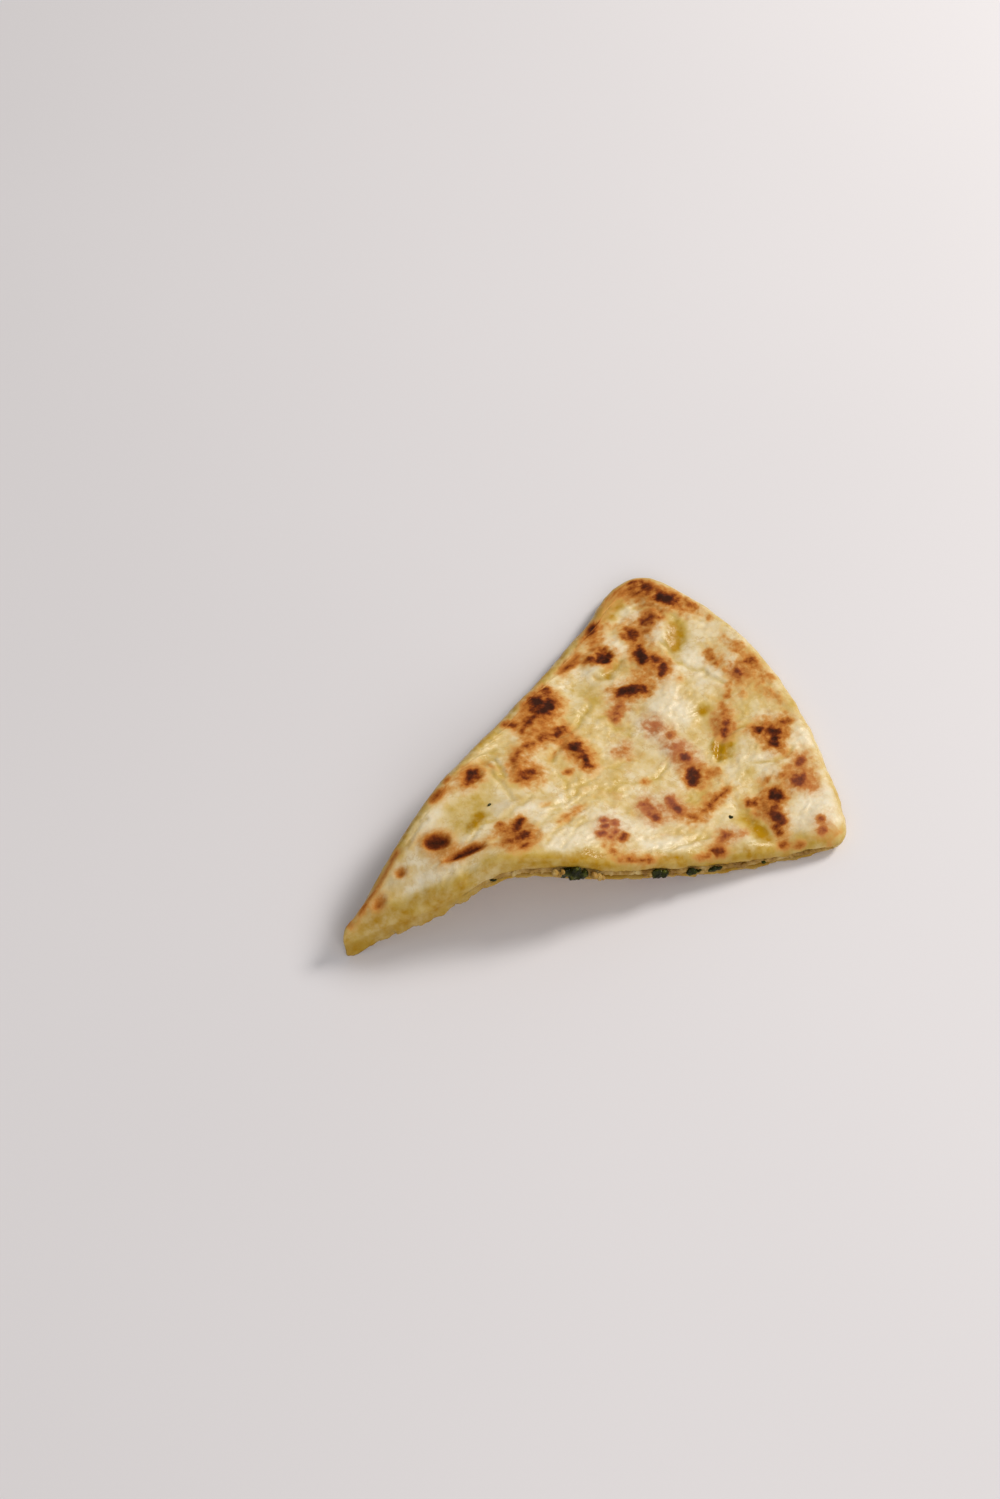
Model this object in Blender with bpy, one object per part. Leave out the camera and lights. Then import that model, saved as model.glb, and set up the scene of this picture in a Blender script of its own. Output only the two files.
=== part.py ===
"""One slice of cottage cheese chepalgash, a thin round flatbread filled with curd and herbs, in metres, +Z up.

The round bread was fried, brushed with butter and cut into eight. The slice's tip points to -X and its closed,
baked rim lies at +X. The knife left two straight cuts, the front one on the -Y side and the back one on the +Y
side, and there the curd filling shows between the upper and the lower dough. The tip droops: it and the outer
third of the slice touch the floor, and the slice arches between them.
"""

import math
import random

import bmesh
import bpy
import numpy as np

MM = 0.001

# Driving dimensions of the slice, seen from above. Lengths are measured from the tip. The rim's distance from the
# tip grows from the front cut to the back cut, and each corner is rounded by a quarter of an ellipse.
HALF_ANGLE = math.radians(22.8)
RIM_MIDDLE = 152.4 * MM
RIM_SLANT = 7.2 * MM
RIM_ROUNDING = 3.8 * MM
RIM_WAVE = 1.2 * MM
FRONT_CORNER = (6.5 * MM, 6.0 * MM)
BACK_CORNER = (9.0 * MM, 14.0 * MM)
TIP_FADE = 14.0 * MM

# How the floppy slice bends sideways: the front cut is hollow near the tip, the back cut bulges there, and the
# tip leans back. Each is a place along the slice, a half length and a shift towards +Y.
FRONT_BENDS = ((44.0 * MM, 15.0 * MM, 4.0 * MM), (8.0 * MM, 8.0 * MM, 0.8 * MM))
BACK_BENDS = ((34.0 * MM, 24.0 * MM, 2.2 * MM), (119.0 * MM, 6.0 * MM, -1.0 * MM))
LEAN = 2.4 * MM
LEAN_END = 42.0 * MM

# Where the tip lies, so that the origin is under the middle of the slice's bounding box.
TIP_X = -77.11 * MM
TIP_Y = -1.82 * MM

# Heights of the bread: the arch under it, its thickness, and how that thickness is shared by the three layers.
ARCH_HEIGHT = 12.0 * MM
ARCH_START = 3.0 * MM
ARCH_PEAK = 45.0 * MM
ARCH_END = 110.0 * MM
FRONT_LIFT = 2.6 * MM
LIFT_LENGTH = 20.0 * MM
LIFT_START = 2.0 * MM
LIFT_FULL = 17.0 * MM
THICK_BODY = 8.6 * MM
THICK_RIM = 5.2 * MM
THIN_FROM = 85.0 * MM
THIN_TO = 148.0 * MM
LOWER_SHARE = 0.22
FILLING_SHARE = 0.37

# The pocket that holds the filling stops short of the closed rim, and the filling keeps clear of its walls.
RIM_DOUGH = 9.0 * MM
GAP = 0.32 * MM
CUTTER_REACH = 14.0 * MM

# Rows of triangles from the tip to the rim.
DOUGH_ROWS = 44
FILLING_ROWS = 24

# The section of the dough's side, from the top edge down: how far each line stands in from the outline, and its
# height as a share of the way from the underside to the top.
SIDE_SECTION = (
    (3.0 * MM, 1.0),
    (1.4 * MM, 0.94),
    (0.4 * MM, 0.80),
    (0.0, 0.55),
    (0.1 * MM, 0.26),
    (0.6 * MM, 0.06),
    (1.6 * MM, 0.0),
)

# Puffs (raised) and dents (sunk) of the upper dough: distance from the tip along the slice and across it, half
# length, half width, turn in degrees, and height. All but the turn are in millimetres.
PUFFS = (
    (15, 0, 12, 5, 0, 0.5),
    (49, 7, 11, 5.5, -12, -1.3),
    (53, 15, 8, 4.5, -15, 1.1),
    (38, -4, 14, 4, -8, 0.7),
    (60, -1, 16, 3, -5, 0.7),
    (60, -14, 10, 6, -25, 0.8),
    (68, 11, 6, 5, 0, 0.8),
    (66, 22, 8, 4, 22, -0.9),
    (86, 28, 7, 5, 20, 1.3),
    (86, 9, 4, 7, 0, 0.9),
    (97, 16, 8, 10, 0, -0.7),
    (92, -24, 14, 8, -20, 1.0),
    (76, -17, 6, 5, 0, 0.8),
    (96, -5, 10, 6, 0, 0.5),
    (103, 31, 7, 4, 20, -0.9),
    (111, 34, 5, 3.5, 20, 1.0),
    (115, 30, 4, 3, 0, -1.1),
    (110, -3, 4, 12, 0, 0.9),
    (119, 13, 9, 9, 0, 0.9),
    (124, 26, 3.5, 8, 20, 1.0),
    (134, 34, 6, 4, 40, 1.1),
    (136, 26, 5, 3, 50, -1.0),
    (141, 44, 4, 8, 20, 1.0),
    (125, 2, 4, 3.5, 60, -1.3),
    (127, -4, 3.5, 5, -30, 0.9),
    (122, -12, 3, 4.5, -40, -1.3),
    (136, -15, 7, 6, 0, 1.0),
    (131, 3, 7, 3, 40, -0.5),
    (144, 8, 5, 10, 0, 0.6),
    (105, -39, 7, 6, 0, 1.0),
    (112, -36, 4, 10, 8, -1.5),
    (119, -37, 4, 7, -30, 0.9),
    (127, -46, 9, 8, 0, 1.2),
    (119, -24, 5, 6, 0, -0.6),
    (130, -32, 5, 5, 0, 0.8),
)
UNEVENNESS = 0.35 * MM

# Curds and chopped herbs that show at the two cuts.
CURD_STEP = 5.2 * MM
CURD_LENGTH = (1.2 * MM, 2.1 * MM)
CURD_SIDES = 6
CURD_RINGS = 4
LAST_CURD = 122.0 * MM
# Herb pieces on each cut: distance from the tip along the cut, half length and half height, in millimetres.
FRONT_HERBS = ((14, 0.9, 0.7), (41, 1.4, 0.8), (64, 3.1, 1.1), (87, 1.9, 1.0), (96, 1.6, 0.9), (103, 1.7, 0.8))
BACK_HERBS = ((28, 1.5, 0.9), (52, 2.2, 1.0), (75, 1.3, 0.8), (90, 2.4, 1.0), (112, 1.5, 0.7))
SEED = 11


def smoothstep(low, high, value):
    share = np.clip((value - low) / (high - low), 0.0, 1.0)
    return share * share * (3.0 - 2.0 * share)


def rim_radius(across):
    """Distance from the tip to the rim, across from -1 at the front cut to 1 at the back cut."""
    across = np.clip(across, -1.0, 1.0)
    radius = RIM_MIDDLE + RIM_SLANT * across - RIM_ROUNDING * across**2
    radius = radius + RIM_WAVE * np.sin(math.pi * across / 0.9)
    width = HALF_ANGLE * radius
    from_cut = width * (1.0 - np.abs(across))
    for side, (over, back) in ((-1, FRONT_CORNER), (1, BACK_CORNER)):
        into_corner = np.where(side * across > 0, np.clip(1.0 - from_cut / over, 0.0, 1.0), 0.0)
        radius = radius - back * (1.0 - np.sqrt(1.0 - into_corner**2))
    return radius


def arch(along, side):
    """Height of the underside: up from the drooping tip to the knee, and down to the floor again. Towards the
    front cut the knee is lifted a little more."""
    up = np.sin(np.clip((along - ARCH_START) / (ARCH_PEAK - ARCH_START), 0.0, 1.0) * math.pi / 2)
    down = 0.5 + 0.5 * np.cos(np.clip((along - ARCH_PEAK) / (ARCH_END - ARCH_PEAK), 0.0, 1.0) * math.pi)
    lift = np.exp(-(((along - ARCH_PEAK) / LIFT_LENGTH) ** 2)) * smoothstep(LIFT_START, LIFT_FULL, -side)
    return ARCH_HEIGHT * np.where(along < ARCH_PEAK, up, down) + FRONT_LIFT * lift


def bent(along, side, height):
    """The same point once the slice is bent sideways and its tip leans back."""
    across = np.clip(side / (np.maximum(along, 1.0 * MM) * math.tan(HALF_ANGLE)), -1.0, 1.0)
    shift = 0.0
    for weight, bends in (((1.0 - across) / 2, FRONT_BENDS), ((1.0 + across) / 2, BACK_BENDS)):
        for place, length, size in bends:
            shift = shift + weight * size * np.exp(-(((along - place) / length) ** 2))
    level = (height - arch(along, side)) / THICK_BODY
    return side + shift + LEAN * level * (1.0 - smoothstep(0.0, LEAN_END, along))


def thickness(along):
    return THICK_BODY + (THICK_RIM - THICK_BODY) * smoothstep(THIN_FROM, THIN_TO, along)


def relief(along, side):
    """Puffs and dents of the upper dough, with a faint unevenness between them."""
    height = UNEVENNESS * np.sin(along / (4.1 * MM) + 1.3 * np.sin(side / (5.3 * MM)))
    height = height * np.cos(side / (4.7 * MM) + 0.7 * np.sin(along / (7.9 * MM)))
    for x, y, half_length, half_width, turn, rise in PUFFS:
        angle = math.radians(turn)
        dx, dy = along - x * MM, side - y * MM
        u = (dx * math.cos(angle) + dy * math.sin(angle)) / (half_length * MM)
        v = (-dx * math.sin(angle) + dy * math.cos(angle)) / (half_width * MM)
        height = height + rise * MM * np.exp(-(u * u + v * v))
    return height


def plan(share, across, inset):
    """A point of the slice seen from above: share of the way to the rim, place between the cuts, and inset."""
    start = 0.8 * inset
    radius = start + share * (rim_radius(across) - inset - start)
    fade = smoothstep(0.0, TIP_FADE, radius)
    angle = across * (HALF_ANGLE - inset * fade / np.maximum(radius, TIP_FADE / 4))
    return radius * np.cos(angle), radius * np.sin(angle)


def cutter_plan(share, across, inset):
    """The same for the pocket's cutter: it starts behind the tip, passes both cuts, and ends short of the rim."""
    angle = across * HALF_ANGLE
    limit = rim_radius(across * 0.96) - RIM_DOUGH - inset
    reach = CUTTER_REACH * np.cos(angle) + np.sqrt(limit**2 - (CUTTER_REACH * np.sin(angle)) ** 2)
    radius = share * reach
    return radius * np.cos(angle) - CUTTER_REACH, radius * np.sin(angle)


def filling_plan(share, across, inset):
    """The same for the filling: flush with the cuts, and as far as the pocket's end."""
    start = 0.8 * inset
    radius = start + share * (rim_radius(across * 0.96) - RIM_DOUGH - 1.5 * GAP - inset - start)
    fade = smoothstep(0.0, TIP_FADE, radius)
    angle = across * (HALF_ANGLE - inset * fade / np.maximum(radius, TIP_FADE / 4))
    return radius * np.cos(angle), radius * np.sin(angle)


def dough_heights(along, side):
    low = arch(along, side)
    return low, low + thickness(along) + relief(along, side)


def pocket_heights(along, side):
    low = arch(along, side) + LOWER_SHARE * thickness(along)
    return low, low + FILLING_SHARE * thickness(along)


def filling_heights(along, side):
    low, high = pocket_heights(along, side)
    return low + GAP, high - GAP


def slab_object(name, rows, plan_of, heights_of, section):
    """A closed slab in the slice's outline. A triangle cut into rows makes the top and the underside, and the
    lines of the section run round between them."""
    bm = bmesh.new()
    corners = [bm.verts.new(corner) for corner in ((0, 0, 0), (1, -1, 0), (1, 1, 0))]
    bm.faces.new(corners)
    bmesh.ops.subdivide_edges(bm, edges=bm.edges[:], cuts=rows - 1, use_grid_fill=True)
    bmesh.ops.triangulate(bm, faces=bm.faces[:])
    edge_loop = [edge for edge in bm.edges if edge.is_boundary]
    ring_of = {vert: 0 for vert in bm.verts}
    for ring in range(1, len(section)):
        made = bmesh.ops.extrude_edge_only(bm, edges=edge_loop)["geom"]
        edge_loop = [item for item in made if isinstance(item, bmesh.types.BMEdge) and item.is_boundary]
        ring_of.update({item: ring for item in made if isinstance(item, bmesh.types.BMVert)})
    underside = bmesh.ops.duplicate(bm, geom=[face for face in bm.faces if len(face.verts) == 3])["vert_map"]
    for source, copy in underside.items():
        if isinstance(copy, bmesh.types.BMVert) and ring_of.get(source) == 0:
            ring_of[copy] = len(section) - 1
    bm.verts.ensure_lookup_table()
    shares = np.array([vert.co.x for vert in bm.verts])
    sides = np.array([vert.co.y for vert in bm.verts])
    across = np.divide(sides, shares, out=np.zeros_like(sides), where=shares > 1e-6)
    inset = np.array([section[ring_of[vert]][0] for vert in bm.verts])
    level = np.array([section[ring_of[vert]][1] for vert in bm.verts])
    along, side = plan_of(shares, across, inset)
    low, high = heights_of(along, side)
    height = low + level * (high - low)
    for vert, x, y, z in zip(bm.verts, along + TIP_X, bent(along, side, height) + TIP_Y, height):
        vert.co = (x, y, z)
    bmesh.ops.remove_doubles(bm, verts=bm.verts[:], dist=0.00001)
    bmesh.ops.recalc_face_normals(bm, faces=bm.faces[:])
    return object_of(name, bm)


def object_of(name, bm):
    mesh = bpy.data.meshes.new(name)
    bm.to_mesh(mesh)
    bm.free()
    obj = bpy.data.objects.new(name, mesh)
    bpy.context.scene.collection.objects.link(obj)
    return obj


def finish(name, colour, roughness):
    material = bpy.data.materials.new(name)
    material.use_nodes = True
    shader = material.node_tree.nodes["Principled BSDF"]
    shader.inputs["Base Color"].default_value = (*colour, 1.0)
    shader.inputs["Roughness"].default_value = roughness
    shader.inputs["Metallic"].default_value = 0.0
    return material


def move_to(obj, collection):
    for holder in obj.users_collection:
        holder.objects.unlink(obj)
    collection.objects.link(obj)


def lump(name, collection, place, along_cut, half_length, half_depth, half_height, turn):
    """One curd or herb piece: a coarse ball stretched along the cut."""
    bm = bmesh.new()
    bmesh.ops.create_uvsphere(bm, u_segments=CURD_SIDES, v_segments=CURD_RINGS, radius=1.0)
    for vert in bm.verts:
        vert.co.x *= half_length
        vert.co.y *= half_depth
        vert.co.z *= half_height
    obj = object_of(name, bm)
    obj.location = place
    obj.rotation_euler = (0.0, turn, along_cut)
    move_to(obj, collection)


def cut_point(distance, side):
    """A point half way up the filling on a cut: side is -1 on the front cut and 1 on the back cut."""
    x = distance * math.cos(HALF_ANGLE)
    y = side * distance * math.sin(HALF_ANGLE)
    low, high = pocket_heights(np.array(x), np.array(y))
    middle = float(low + high) / 2
    return (x + TIP_X, float(bent(x, y, middle)) + TIP_Y, middle), float(high - low) / 2 - GAP


def add_curds(collection):
    """Curds along both cuts, uneven in size, with gaps where a herb piece lies."""
    draw = random.Random(SEED)
    for side, herbs in ((-1, FRONT_HERBS), (1, BACK_HERBS)):
        for number in range(int(LAST_CURD / CURD_STEP)):
            distance = (number + 1) * CURD_STEP + draw.uniform(-1.0, 1.0) * MM
            size = draw.uniform(*CURD_LENGTH)
            swell = draw.uniform(0.45, 0.8) * MM
            turn = draw.uniform(-0.2, 0.2)
            if any(abs(distance - herb[0] * MM) < (herb[1] + 1.5) * MM for herb in herbs):
                continue
            place, room = cut_point(distance, side)
            lump("curd", collection, place, side * HALF_ANGLE, size, swell, 0.82 * room, turn)


def add_herbs(collection):
    for side, herbs in ((-1, FRONT_HERBS), (1, BACK_HERBS)):
        for distance, half_length, half_height in herbs:
            place, room = cut_point(distance * MM, side)
            height = min(half_height * MM, 0.85 * room)
            lump("herb", collection, place, side * HALF_ANGLE, half_length * MM, 0.9 * MM, height, 0.05)


def joined_with(obj, collection):
    """The object with everything in the collection fused on, and the collection emptied."""
    union = obj.modifiers.new("fuse", "BOOLEAN")
    union.operation = "UNION"
    union.operand_type = "COLLECTION"
    union.collection = collection
    union.solver = "EXACT"
    apply_modifiers(obj)
    for piece in list(collection.objects):
        bpy.data.objects.remove(piece)
    bpy.data.collections.remove(collection)


def apply_modifiers(obj):
    bpy.context.view_layer.update()
    graph = bpy.context.evaluated_depsgraph_get()
    mesh = bpy.data.meshes.new_from_object(obj.evaluated_get(graph))
    mesh.name = obj.name
    obj.modifiers.clear()
    obj.data = mesh


def smooth(obj, angle):
    obj.data.shade_smooth()
    obj.data.set_sharp_from_angle(angle=math.radians(angle))


def build_dough(parts, cutters):
    """The dough envelope: upper and lower layer in one piece, closed at the rim and open at both cuts."""
    dough = slab_object("dough", DOUGH_ROWS, plan, dough_heights, SIDE_SECTION)
    pocket = slab_object("pocket_cutter", FILLING_ROWS, cutter_plan, pocket_heights, ((0.0, 1.0), (0.0, 0.0)))
    pocket.hide_render = True
    pocket.display_type = "WIRE"
    move_to(pocket, cutters)
    cut = dough.modifiers.new("pocket", "BOOLEAN")
    cut.operation = "DIFFERENCE"
    cut.object = pocket
    cut.solver = "EXACT"
    apply_modifiers(dough)
    dough.data.materials.clear()
    dough.data.materials.append(finish("fried_dough", (0.73, 0.56, 0.27), 0.5))
    smooth(dough, 50)
    move_to(dough, parts)


def build_filling(parts):
    """The cottage cheese filling with chopped herbs, one layer that runs through the slice to both cuts."""
    filling = slab_object(
        "curd_filling", FILLING_ROWS, filling_plan, filling_heights, ((0.15 * MM, 1.0), (0.15 * MM, 0.0))
    )
    crumbs = bpy.data.collections.new("crumbs")
    bpy.context.scene.collection.children.link(crumbs)
    add_curds(crumbs)
    add_herbs(crumbs)
    joined_with(filling, crumbs)
    filling.data.materials.clear()
    filling.data.materials.append(finish("curd_and_herbs", (0.70, 0.62, 0.38), 0.6))
    smooth(filling, 40)
    move_to(filling, parts)


def main():
    for obj in list(bpy.data.objects):
        bpy.data.objects.remove(obj)
    parts = bpy.data.collections.new("chepalgash_slice")
    cutters = bpy.data.collections.new("cutters")
    bpy.context.scene.collection.children.link(parts)
    bpy.context.scene.collection.children.link(cutters)
    build_dough(parts, cutters)
    build_filling(parts)


main()
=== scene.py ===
"""A slice of cottage cheese chepalgash, buttered and scorched in the pan, on a pale floor.

All sizes below are in millimetres, measured from the slice's tip: x runs to the rim, y to the back cut.
"""

import math

import bmesh
import bpy
import numpy as np
from mathutils import Euler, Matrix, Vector


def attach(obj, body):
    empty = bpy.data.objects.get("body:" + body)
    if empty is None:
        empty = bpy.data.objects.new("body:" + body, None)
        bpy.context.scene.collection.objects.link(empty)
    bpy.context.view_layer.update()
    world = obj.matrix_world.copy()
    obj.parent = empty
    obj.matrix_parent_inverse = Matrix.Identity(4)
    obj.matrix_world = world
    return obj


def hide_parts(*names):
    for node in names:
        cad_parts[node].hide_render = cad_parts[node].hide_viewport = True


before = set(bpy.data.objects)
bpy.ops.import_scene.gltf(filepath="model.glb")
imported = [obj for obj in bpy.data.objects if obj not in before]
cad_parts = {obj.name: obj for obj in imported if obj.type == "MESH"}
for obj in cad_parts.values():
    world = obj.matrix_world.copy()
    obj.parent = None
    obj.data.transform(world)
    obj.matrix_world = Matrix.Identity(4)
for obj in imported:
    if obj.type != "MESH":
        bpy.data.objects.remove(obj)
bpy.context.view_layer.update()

# The dough envelope
# A thin soft wheat dough, folded round the filling and rolled flat: one skin of upper layer, closed rim and
# lower layer. It was baked in a dry pan, which puffed it up and scorched the puffs, brushed with butter, and
# cut with a knife that smeared the upper layer down over the cut.
MM = 0.001
TIP = (-77.11, -1.82)
HALF_ANGLE = math.radians(22.8)
ROWS = 264

# The rim's distance from the tip, and how the floppy slice arches and bends, as in the solid.
RIM_MIDDLE, RIM_SLANT, RIM_ROUNDING, RIM_WAVE = 152.4, 7.2, 3.8, 1.2
CORNERS = ((-1, 6.5, 6.0), (1, 9.0, 14.0))
TIP_FADE = 14.0
FRONT_BENDS = ((44.0, 15.0, 4.0), (8.0, 8.0, 0.8))
BACK_BENDS = ((34.0, 24.0, 2.2), (119.0, 6.0, -1.0))
LEAN, LEAN_END = 2.4, 42.0
# The upper layer is smeared over the cut fully as far as the first distance, and no more from the second on.
SMEAR_FULL, SMEAR_END = 32.0, 50.0
ARCH_HEIGHT, ARCH_START, ARCH_PEAK, ARCH_END = 12.0, 3.0, 45.0, 110.0
FRONT_LIFT, LIFT_LENGTH, LIFT_START, LIFT_FULL = 2.6, 20.0, 2.0, 17.0
THICK_BODY, THICK_RIM, THIN_FROM, THIN_TO = 8.6, 5.2, 85.0, 148.0

# Puffs and dents of the upper layer: x, y, half length, half width, turn in degrees, height.
PUFFS = (
    (15, 0, 12, 5, 0, 0.5), (49, 7, 11, 5.5, -12, -1.3), (53, 15, 8, 4.5, -15, 1.1), (38, -4, 14, 4, -8, 0.7),
    (60, -1, 16, 3, -5, 0.7), (60, -14, 10, 6, -25, 0.8), (68, 11, 6, 5, 0, 0.8), (66, 22, 8, 4, 22, -0.9),
    (86, 28, 7, 5, 20, 1.3), (86, 9, 4, 7, 0, 0.9), (97, 16, 8, 10, 0, -0.7), (92, -24, 14, 8, -20, 1),
    (76, -17, 6, 5, 0, 0.8), (96, -5, 10, 6, 0, 0.5), (103, 31, 7, 4, 20, -0.9), (111, 34, 5, 3.5, 20, 1),
    (115, 30, 4, 3, 0, -0.7), (110, -3, 4, 12, 0, 0.9), (119, 13, 9, 9, 0, 0.9), (124, 26, 3.5, 8, 20, 1),
    (134, 34, 6, 4, 40, 1.1), (136, 26, 5, 3, 50, -0.5), (141, 44, 4, 8, 20, 1), (125, 2, 4, 3.5, 60, -0.7),
    (127, -4, 3.5, 5, -30, 0.9), (122, -12, 3, 4.5, -40, -0.7), (136, -15, 7, 6, 0, 1),
    (131, 3, 7, 3, 40, -0.5), (144, 8, 5, 10, 0, 0.6), (105, -39, 7, 6, 0, 1), (112, -36, 4, 10, 8, -1.5),
    (119, -37, 4, 7, -30, 0.9), (127, -46, 9, 8, 0, 1.2), (119, -24, 5, 6, 0, -0.6), (130, -32, 5, 5, 0, 0.8),
)

# Soft creases of the upper layer: width, depth, then the points they run through.
CREASES = (
    (0.7, 0.2, (41, 0), (46, 1.6), (52, 1.2), (58, 1.6), (64, 3)),
    (0.7, 0.2, (64, -2.5), (68, -3), (72, -2.8), (79, -0.5), (86, 1), (97, 0.5)),
    (0.6, 0.2, (75.5, 6), (75, 2), (73, -2)),
    (0.8, 0.22, (59.8, 20), (59.6, 11), (58.5, 4)),
    (0.8, 0.36, (55, 20.5), (60, 20), (62.5, 17), (62, 13)),
    (0.6, 0.16, (56, -9), (63, -5.5), (72, -4.5), (82, -3.5)),
    (0.6, 0.16, (58, -12), (66, -9), (76, -8)),
    (0.6, 0.16, (60, -16), (68, -12.5), (75, -12)),
    (0.7, 0.28, (88, -5), (93, -8), (99, -9), (104, -7)),
    (0.8, 0.35, (77, 11), (80, 13.5), (84, 14.5)),
    (0.8, 0.3, (84, 17), (92, 18.5), (99, 22)),
    (1.0, 0.45, (108, 30), (112, 29), (117, 30.5)),
    (1.2, 0.2, (111, -29), (110, -35), (111, -41), (115, -47)),
    (0.8, 0.4, (118, -13), (122, -9), (127, -8), (131, -8), (135, -11)),
    (0.8, 0.28, (131, 29), (131, 21), (134, 12), (136, 6)),
    (2.6, 0.42, (133.5, 25.5), (138.5, 31)),
    (0.7, 0.28, (96, 22), (101, 16), (103, 8)),
    (0.8, 0.35, (133, 44), (137, 40), (140, 33)),
    (0.8, 0.3, (124, -20), (129, -24), (137, -23)),
    (0.7, 0.3, (4, 3.6), (12, 6.2), (20, 8.8), (28, 10.6), (36, 13)),
    (0.7, 0.28, (82, -30), (90, -31), (98, -32)),
)

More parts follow.
